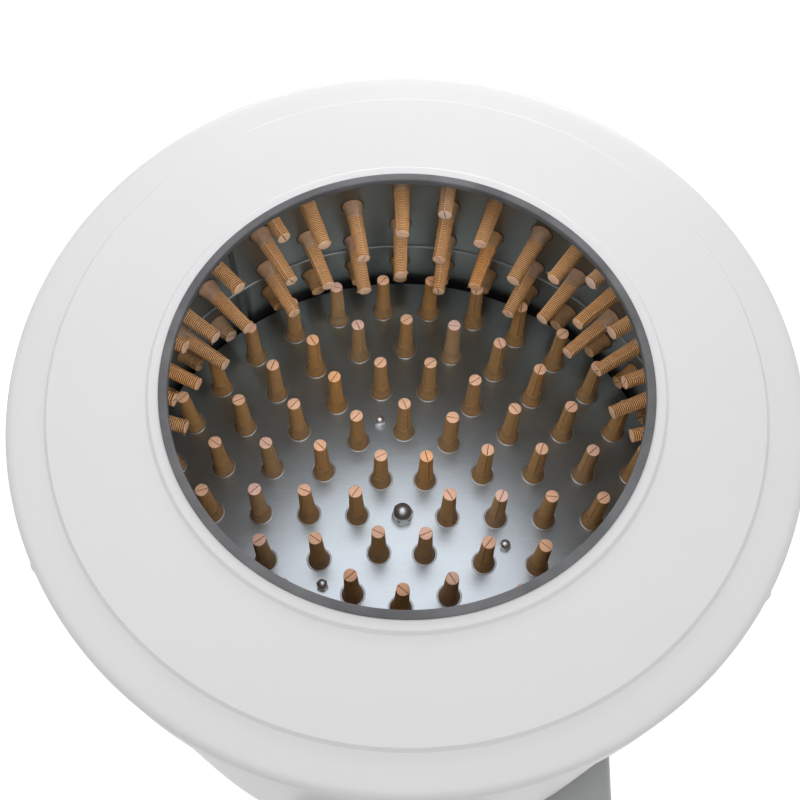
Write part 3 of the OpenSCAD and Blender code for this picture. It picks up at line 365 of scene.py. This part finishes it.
def rounded(corners, steps=5):
    """The outline of a closed list of corners [((r, z), radius)...]; a radius of 0 leaves one sharp."""
    out = []
    count = len(corners)
    for i, (place, radius) in enumerate(corners):
        p = Vector(place)
        if radius == 0:
            out.append(tuple(p))
            continue
        a = Vector(corners[i - 1][0]) - p
        b = Vector(corners[(i + 1) % count][0]) - p
        half = a.angle(b) / 2
        reach = min(radius / math.tan(half), CORNER_SHARE * a.length, CORNER_SHARE * b.length)
        start, end = p + a.normalized() * reach, p + b.normalized() * reach
        for k in range(steps + 1):
            t = k / steps
            out.append(tuple((1 - t) ** 2 * start + 2 * t * (1 - t) * p + t ** 2 * end))
    return out


def repeated(points, faces, places):
    """Points and faces of one mesh set at many places."""
    matrices = [np.array(place) for place in places]
    all_points = np.concatenate([points @ m[:3, :3].T + m[:3, 3] for m in matrices])
    starts = [k * len(points) for k in range(len(places))]
    return all_points, [[start + i for i in face] for start in starts for face in faces]


# Cover and edge trim

TURN_STEPS = 288
NEAR = 2.0      # distance of the extra points that keep the shading of flats flat
LIP_ROUND = 1.6
LIP_FOOT_ROUND = 1.2
STEP_ROUND = 0.7
HEM_ROUND = 0.8
TRIM_ROUND_IN = 1.4
TRIM_ROUND_OUT = 0.9

cover_outside = [
    ((MOUTH_R, LIP_Z), 0), ((MOUTH_R + NEAR, LIP_Z), 0), ((LIP_R - NEAR, LIP_Z), 0),
    ((LIP_R, LIP_Z), LIP_ROUND), ((LIP_R + STEP_W, FLAT_Z), LIP_FOOT_ROUND),
    ((LIP_R + STEP_W + NEAR, FLAT_Z), 0), ((STEP_R - NEAR, FLAT_Z), 0),
    ((STEP_R, FLAT_Z), STEP_ROUND), ((STEP_R + STEP_W, BRIM_Z), STEP_ROUND),
    ((STEP_R + STEP_W + NEAR, BRIM_Z), 0), ((COVER_R - 2 * BRIM_ROUND - NEAR, BRIM_Z), 0),
    ((COVER_R, BRIM_Z), BRIM_ROUND),
    ((COVER_R, BRIM_Z - 2 * BRIM_ROUND - NEAR), 0), ((COVER_R, BRIM_Z - SKIRT_H + NEAR), 0),
    ((COVER_R, BRIM_Z - SKIRT_H), HEM_ROUND)]
cover_inside = [
    ((COVER_R - COVER_T, BRIM_Z - SKIRT_H), HEM_ROUND),
    ((COVER_R - COVER_T, BRIM_Z - COVER_T), BRIM_ROUND - COVER_T),
    ((STEP_R + STEP_W, BRIM_Z - COVER_T), 0), ((STEP_R, FLAT_Z - COVER_T), 0),
    ((LIP_R + STEP_W, FLAT_Z - COVER_T), 0), ((LIP_R, LIP_Z - COVER_T), 0), ((MOUTH_R, LIP_Z - COVER_T), 0)]
cover_mesh = revolve(rounded(cover_outside + cover_inside), TURN_STEPS)
add_piece("cover_moulding", *cover_mesh, COVER_WHITE, "machine", "white_cover", ["top_cover"])

trim_in = MOUTH_R - TRIM_T
trim_out = trim_in + TRIM_W
trim_low = LIP_Z - COVER_T - TRIM_T
trim_corners = [
    ((trim_in, MOUTH_Z), TRIM_ROUND_IN), ((trim_out, MOUTH_Z), TRIM_ROUND_OUT),
    ((trim_out, LIP_Z), 0), ((MOUTH_R, LIP_Z), 0),
    ((MOUTH_R, LIP_Z - COVER_T), 0), ((trim_out, LIP_Z - COVER_T), 0),
    ((trim_out, trim_low), TRIM_ROUND_OUT), ((trim_in, trim_low), TRIM_ROUND_IN)]
trim_mesh = revolve(rounded(trim_corners), TURN_STEPS)
add_piece("edge_trim_moulding", *trim_mesh, TRIM_GREY, "machine", "trim_rubber", ["edge_trim"])

# Rubber fingers, in millimetres along and round their own axis

FOOT_SINK = 0.6
COLLAR_STEPS = 8
COLLAR_FIN = 0.25
COLLAR_FIN_START = 3        # the step of the collar from which its parting fins stand out
# The groove depth is also the share of the dark groove colour, painted shade in the grooves
RIB_SHAPE = ((0.0, 1.0), (0.26, 1.0), (0.40, 0.0), (0.86, 0.0))     # share of the pitch, depth of the groove
TIP_CHAMFER = (0.45, 0.2)   # width, height
TIP_EDGE_SHARE = 0.6
TIP_FIN = 0.2
FIN = 0.55
FIN_FOOT = 4.0              # degrees from the crest of a fin to its foot
SIDE_STEPS = 11
SLOT_DEPTH = 0.8
FLASH_REACH = (2.6, 1.0)    # flaps at the two ends of the tip slot
FLASH_LEN = 4.5
# The parting shadow darkens one side of each fin on fingers without flash: a painted shadow
PARTING_PAINTED_SHADOW = 0.6
# The fin highlight lightens the fins of flash fingers with the tip colour: a painted highlight
FIN_PAINTED_HIGHLIGHT = 0.75
TONE_MEAN, TONE_SPREAD = 0.5, 0.25
SEED = 7


def shank_radius(z):
    return RIB_START_R + (TIP_R - RIB_START_R) * (z - COLLAR_LEN) / (FINGER_LEN - COLLAR_LEN)


def finger_loops(length, rib_depth):
    """Rings of a finger from its sheet to its tip: height, radius, shares of groove, collar and tip, fin."""
    # The foot ring and the collar's first ring take the dark groove colour: a painted shadow round the
    # finger's root
    loops = [(-FOOT_SINK, COLLAR_R, 1.0, 0.0, 0.0, 0.0)]
    for i in range(COLLAR_STEPS + 1):
        t = i / COLLAR_STEPS
        r = COLLAR_END_R + (COLLAR_R - COLLAR_END_R) * (1 - t) ** 2
        fin = COLLAR_FIN if i >= COLLAR_FIN_START else 0.0
        loops.append((COLLAR_LEN * t, r, float(i == 0), float(i > 0), 0.0, fin))
    pitch = (FINGER_LEN - COLLAR_LEN) / RIB_COUNT
    ribs = int(round((length - COLLAR_LEN) / pitch))
    for i in range(ribs):
        for share, groove in RIB_SHAPE:
            z = COLLAR_LEN + (i + share) * pitch
            loops.append((z, shank_radius(z) - rib_depth * groove, groove, 0.0, 0.0, FIN))
    end = COLLAR_LEN + ribs * pitch
    width, height = TIP_CHAMFER
    loops.append((end - height, shank_radius(end), 0.0, 0.0, TIP_EDGE_SHARE, FIN))
    loops.append((end, shank_radius(end) - width, 0.0, 0.0, 1.0, TIP_FIN))
    return loops


def finger_mesh(length, rib_depth, flash):
    """Points, faces and zone shares of one finger on z = 0, with its mould's parting fins and tip slot.

    With flash, the fins carry a painted highlight and end in flaps at the tip.
    """
    sides = [FIN_FOOT + (180 - 2 * FIN_FOOT) * i / (SIDE_STEPS + 1) for i in range(1, SIDE_STEPS + 1)]
    half_turn = [0.0, FIN_FOOT] + sides + [180 - FIN_FOOT]
    angles = np.radians(half_turn + [a + 180 for a in half_turn])
    n = len(angles)
    half = n // 2
    crests = (0, half)
    beside = (1, half + 1)
    verts, zones, faces = [], [], []
    loops = finger_loops(length, rib_depth)
    top = loops[-1][0]
    for z, r, groove, collar, tip, fin in loops:
        radii = np.full(n, r)
        flap = max(0.0, 1 - (top - z) / FLASH_LEN) if flash else 0.0
        for crest, reach in zip(crests, FLASH_REACH):
            radii[crest] += fin + reach * flap
        verts += np.stack([radii * np.cos(angles), radii * np.sin(angles), np.full(n, z)], -1).tolist()
        # Painted shadow beside one side of each fin, and a painted highlight on the fins of flash fingers
        fin_shadow = 0.0 if flash else PARTING_PAINTED_SHADOW * (1 - tip)
        shine = max(tip, FIN_PAINTED_HIGHLIGHT) if flash and fin else tip
        for i in range(n):
            if i in crests:
                zones.append((0.0, collar, shine))
            else:
                zones.append((max(groove, fin_shadow) if i in beside else groove, collar, tip))
    for k in range(len(loops) - 1):
        for i in range(n):
            j = (i + 1) % n
            faces.append((k * n + i, k * n + j, (k + 1) * n + j, (k + 1) * n + i))

    last = (len(loops) - 1) * n
    ring = [last + i for i in range(n)]
    a, b, c, d = (len(verts) + i for i in range(4))
    for i in (1, half - 1, half + 1, n - 1):
        x, y, _ = verts[ring[i]]
        verts.append([x, y, top - SLOT_DEPTH])
        # The slot floor takes the dark groove colour: painted shade in the slot
        zones.append((1.0, 0.0, 0.0))
    faces.append(ring[1:half])
    faces.append(ring[half + 1:])
    faces.append((ring[1], ring[half - 1], b, a))
    faces.append((ring[half + 1], ring[n - 1], d, c))
    faces.append((a, b, c, d))
    faces.append((ring[0], ring[1], a, d, ring[n - 1]))
    faces.append((ring[half], ring[half + 1], c, b, ring[half - 1]))
    return np.array(verts), faces, np.array(zones)


def place_fingers(name, node, body, material, places, length, rib_depth, lean, flash=False):
    """One piece of many fingers, each with its own roll, slight lean and tone."""
    points, faces, zones = finger_mesh(length, rib_depth, flash)
    matrices, tones = [], []
    for place in places:
        roll = Matrix.Rotation(rng.uniform(0, math.tau), 4, "Z")
        lean_x = Matrix.Rotation(math.radians(rng.gauss(0, lean)), 4, "X")
        lean_y = Matrix.Rotation(math.radians(rng.gauss(0, lean)), 4, "Y")
        matrices.append(place @ (lean_x @ lean_y) @ roll)
        tone = min(1.0, max(0.0, rng.gauss(TONE_MEAN, TONE_SPREAD)))
        tones.append(np.full(len(points), tone))
    attributes = {"zone": ("FLOAT_VECTOR", np.tile(zones, (len(places), 1))),
                  "tone": ("FLOAT", np.concatenate(tones))}
    inside_pieces.append(add_piece(name, *repeated(points, faces, matrices), material, body, "finger_rubber",
                                   [node], attributes=attributes))


def wall_places(rise, first, step):
    """Places of a row of holes in the drum's wall, with Z towards the middle."""
    inward = Matrix.Rotation(-math.pi / 2, 4, "Y")
    places = []
    for i in range(first, COLUMN_COUNT, step):
        turn = Matrix.Rotation(math.radians(COLUMN_START - i * COLUMN_PITCH), 4, "Z")
        places.append(turn @ Matrix.Translation((DRUM_R, 0, PLATE_Z + rise)) @ inward)
    return places


def ring_places(number):
    """Places of a ring of holes in the plate, counted from the middle."""
    radius = FIRST_RING_R + (number - 1) * RING_PITCH
    count = RING_GROWTH * number
    return [Matrix.Rotation(math.radians(PLATE_ANGLE + i * 360 / count), 4, "Z")
            @ Matrix.Translation((radius, 0, PLATE_Z)) for i in range(count)]


rng = random.Random(SEED)
inside_pieces = []
place_fingers("wall_stub_rubber", "wall_stubs", "machine", STUB_FINGER, wall_places(*STUB_ROW), STUB_LEN,
              rib_depth=0.55, lean=0.8)
for number, row in enumerate(FINGER_ROWS, 1):
    place_fingers("wall_finger_rubber_%d" % number, "wall_fingers_%d" % number, "machine", WALL_FINGER,
                  wall_places(*row), FINGER_LEN, rib_depth=0.8, lean=0.9, flash=True)
for number in range(1, RING_COUNT + 1):
    place_fingers("plate_finger_rubber_%d" % number, "plate_fingers_%d" % number, "plate_rotor",
                  PLATE_FINGER, ring_places(number), FINGER_LEN, rib_depth=0.3, lean=0.5)

# Seam of the drum, closed with a dark strip above and below the bead

STRIP_HALF = 3.1
STRIP_BEVEL = 0.5
STRIP_PROUD = 1.0
BEAD_Z = PLATE_Z + BEAD_RISE
DRUM_TOP = BRIM_Z - COVER_T
PAN_Z = PLATE_Z - PAN_DROP


def seam_strips(spans):
    """Points and faces of strips with bevelled edges, just proud of the seam's fold."""
    front = DRUM_R - STRIP_PROUD
    section = [(DRUM_R, -STRIP_HALF), (front + STRIP_BEVEL, -STRIP_HALF), (front, STRIP_BEVEL - STRIP_HALF),
               (front, STRIP_HALF - STRIP_BEVEL), (front + STRIP_BEVEL, STRIP_HALF), (DRUM_R, STRIP_HALF)]
    cos, sin = math.cos(math.radians(SEAM_ANGLE)), math.sin(math.radians(SEAM_ANGLE))
    n = len(section)
    points, faces = [], []
    for span in spans:
        low = range(len(points), len(points) + n)
        high = range(len(points) + n, len(points) + 2 * n)
        points += [(r * cos - y * sin, r * sin + y * cos, z) for z in span for r, y in section]
        faces += [(low[i], low[(i + 1) % n], high[(i + 1) % n], high[i]) for i in range(n)]
        faces += [low[::-1], high]
    return points, faces


strip_mesh = seam_strips([(BEAD_Z + BEAD_HALF, DRUM_TOP), (PAN_Z, BEAD_Z - BEAD_HALF)])
seam_piece = add_piece("drum_seam_strip", *strip_mesh, DARK_STRIP_AND_PAINTED_SHADE, "machine", "trim_rubber", smooth=False)
inside_pieces.append(seam_piece)

# Rims of the finger holes: a bright edge round those of the plate, and round those of the wall a dark ring,
# painted shade in the gap at the fingers' roots

RIM_STEPS, RIM_SIDES = 40, 8


def hole_rims(name, body, slot, material, places, gap, tube):
    """One piece of thin rings, each a gap away from a finger's collar."""
    turns = [math.tau * k / RIM_SIDES for k in range(RIM_SIDES)]
    profile = [(COLLAR_R + gap + tube * math.cos(turn), tube * math.sin(turn)) for turn in turns]
    rims = repeated(*revolve(profile, RIM_STEPS), places)
    inside_pieces.append(add_piece(name, *rims, material, body, slot))


plate_holes = [place for number in range(1, RING_COUNT + 1) for place in ring_places(number)]
wall_holes = [place for row in [STUB_ROW] + FINGER_ROWS for place in wall_places(*row)]
hole_rims("plate_hole_rims", "plate_rotor", "plate_steel", RIM_STEEL, plate_holes, gap=1.0, tube=0.65)
hole_rims("wall_hole_painted_shade_rims", "machine", "trim_rubber", DARK_STRIP_AND_PAINTED_SHADE, wall_holes, gap=0.6, tube=0.6)

# Floor and world

FLOOR_HALF = 30
FLOOR_LIFT = 0.62           # glow that turns the lit floor white for the camera and in reflections
WORLD_LOW = (0.15, (1.0, 1.0, 1.0, 1.0))
WORLD_HIGH = (0.40, (0.35, 0.35, 0.36, 1.0))


def stage_material():
    s = Shader("floor_white", Roughness=0.9, Emission_Color=(1, 1, 1, 1))
    s.set("Base Color", s.ramp(s.noise(scale=0.6, detail=2.0), [(0.3, grey(0.9)), (0.7, grey(0.92))]))
    path = s.node("LightPath").outputs
    seen = s.maximum(s.maximum(path["Is Camera Ray"], path["Is Glossy Ray"]), path["Is Transmission Ray"])
    lift = s.node("Math", operation="MULTIPLY")
    lift.inputs[1].default_value = FLOOR_LIFT
    s.link(seen, lift.inputs[0])
    s.set("Emission Strength", lift.outputs[0])
    return s.mat


floor_corners = [(FLOOR_HALF * x, FLOOR_HALF * y, 0) for x, y in ((-1, -1), (1, -1), (1, 1), (-1, 1))]
floor_mesh = bpy.data.meshes.new("floor")
floor_mesh.from_pydata(floor_corners, [], [(0, 1, 2, 3)])
floor_mesh.materials.append(stage_material())
floor = bpy.data.objects.new("floor", floor_mesh)
bpy.context.scene.collection.objects.link(floor)

world = bpy.data.worlds.new("studio")
bpy.context.scene.world = world
world.use_nodes = True
tree = world.node_tree
coord = tree.nodes.new("ShaderNodeTexCoord")
split = tree.nodes.new("ShaderNodeSeparateXYZ")
ramp = tree.nodes.new("ShaderNodeValToRGB")
tree.links.new(coord.outputs["Generated"], split.inputs["Vector"])
tree.links.new(split.outputs["Z"], ramp.inputs["Fac"])
for element, (height, colour) in zip(ramp.color_ramp.elements, (WORLD_LOW, WORLD_HIGH)):
    element.position = height
    element.color = colour
tree.links.new(ramp.outputs["Color"], tree.nodes["Background"].inputs["Color"])

# Lamps, in metres

WHITE = (1.0, 1.0, 1.0)
WARM = (1.0, 0.99, 0.97)
FAINT_VIOLET = (0.97, 0.935, 1.04)
MIDDLE = (0, 0, MOUTH_Z * MM)


def softbox(name, place, target, size, radiance, colour, receivers=None):
    """An area lamp; with receivers it lights only the objects of that collection."""
    light = bpy.data.lights.new(name, "AREA")
    light.shape = "RECTANGLE"
    light.size, light.size_y = size
    light.energy = radiance * math.pi * size[0] * size[1]
    light.color = colour
    obj = bpy.data.objects.new(name, light)
    obj.location = place
    obj.rotation_euler = (Vector(target) - Vector(place)).to_track_quat("-Z", "Y").to_euler()
    obj.visible_camera = False
    if receivers:
        obj.light_linking.receiver_collection = receivers
    bpy.context.scene.collection.objects.link(obj)


def around(azimuth, elevation, distance):
    """A place at a distance from the mouth, seen from it in the given direction."""
    azimuth, elevation = math.radians(azimuth), math.radians(elevation)
    level = distance * math.cos(elevation)
    height = MOUTH_Z * MM + distance * math.sin(elevation)
    return (level * math.cos(azimuth), level * math.sin(azimuth), height)


inside = bpy.data.collections.new("inside_of_the_drum")
for name in ("drum_upper", "drum_lower", "feather_plate", "dome_nuts", "shaft_cap_nut"):
    inside.objects.link(frame["nodes"][name])
for piece in inside_pieces:
    inside.objects.link(piece)

softbox("top_light", place=(-0.05, 0.5, 2.0), target=(-0.02, 0.25, 0.88), size=(1.3, 1.1), radiance=1.42,
        colour=FAINT_VIOLET)
softbox("back_light", place=(0.05, 0.95, 1.22), target=(0, 0.1, 0.88), size=(1.0, 0.35), radiance=3.8,
        colour=WHITE)
# Lamps round the mouth: name, direction, side, level for all, level for the inside alone, colour
for name, direction, side, level, inside_level, colour in (
        ("left", (190, 45, 1.3), 0.5, 2.0, 7.0, WHITE),
        ("right", (322, 40, 1.3), 0.5, 2.0, 9.0, WHITE),
        ("front_left", (245, 60, 1.5), 0.6, 1.6, 7.0, WARM),
        ("front_right", (295, 60, 1.5), 0.6, 1.6, 7.4, WARM)):
    place = around(*direction)
    softbox(name + "_light", place, MIDDLE, (side, side), level, colour)
    softbox(name + "_inside_light", place, MIDDLE, (side, side), inside_level, colour, inside)

# Camera of the photo

ELEVATION, YAW, ROLL = math.radians(64.13), math.radians(-0.82), math.radians(1.41)
FOCAL_PIXELS, IMAGE_PIXELS = 1069.5, 800
SENSOR_WIDTH = 36.0
CAMERA_BACK, CAMERA_RISE = 0.3802, 1.0628       # metres in front of the shaft and above the plate

level_part = math.cos(ELEVATION)
forward = Vector((math.sin(YAW) * level_part, math.cos(YAW) * level_part, -math.sin(ELEVATION)))
right = forward.cross(Vector((0, 0, 1))).normalized()
up = right.cross(forward)
turned_right = math.cos(ROLL) * right + math.sin(ROLL) * up
turned_up = -math.sin(ROLL) * right + math.cos(ROLL) * up
lens = bpy.data.cameras.new("photo_camera")
lens.sensor_fit = "HORIZONTAL"
lens.sensor_width = SENSOR_WIDTH
lens.lens = FOCAL_PIXELS * SENSOR_WIDTH / IMAGE_PIXELS
lens.clip_start, lens.clip_end = 0.01, 100.0
camera = bpy.data.objects.new("photo_camera", lens)
pose = Matrix((turned_right, turned_up, -forward)).transposed().to_4x4()
pose.translation = Vector((0, -CAMERA_BACK, PLATE_Z * MM + CAMERA_RISE))
camera.matrix_world = pose
bpy.context.scene.collection.objects.link(camera)
bpy.context.scene.camera = camera
bpy.context.scene.view_settings.view_transform = "Standard"
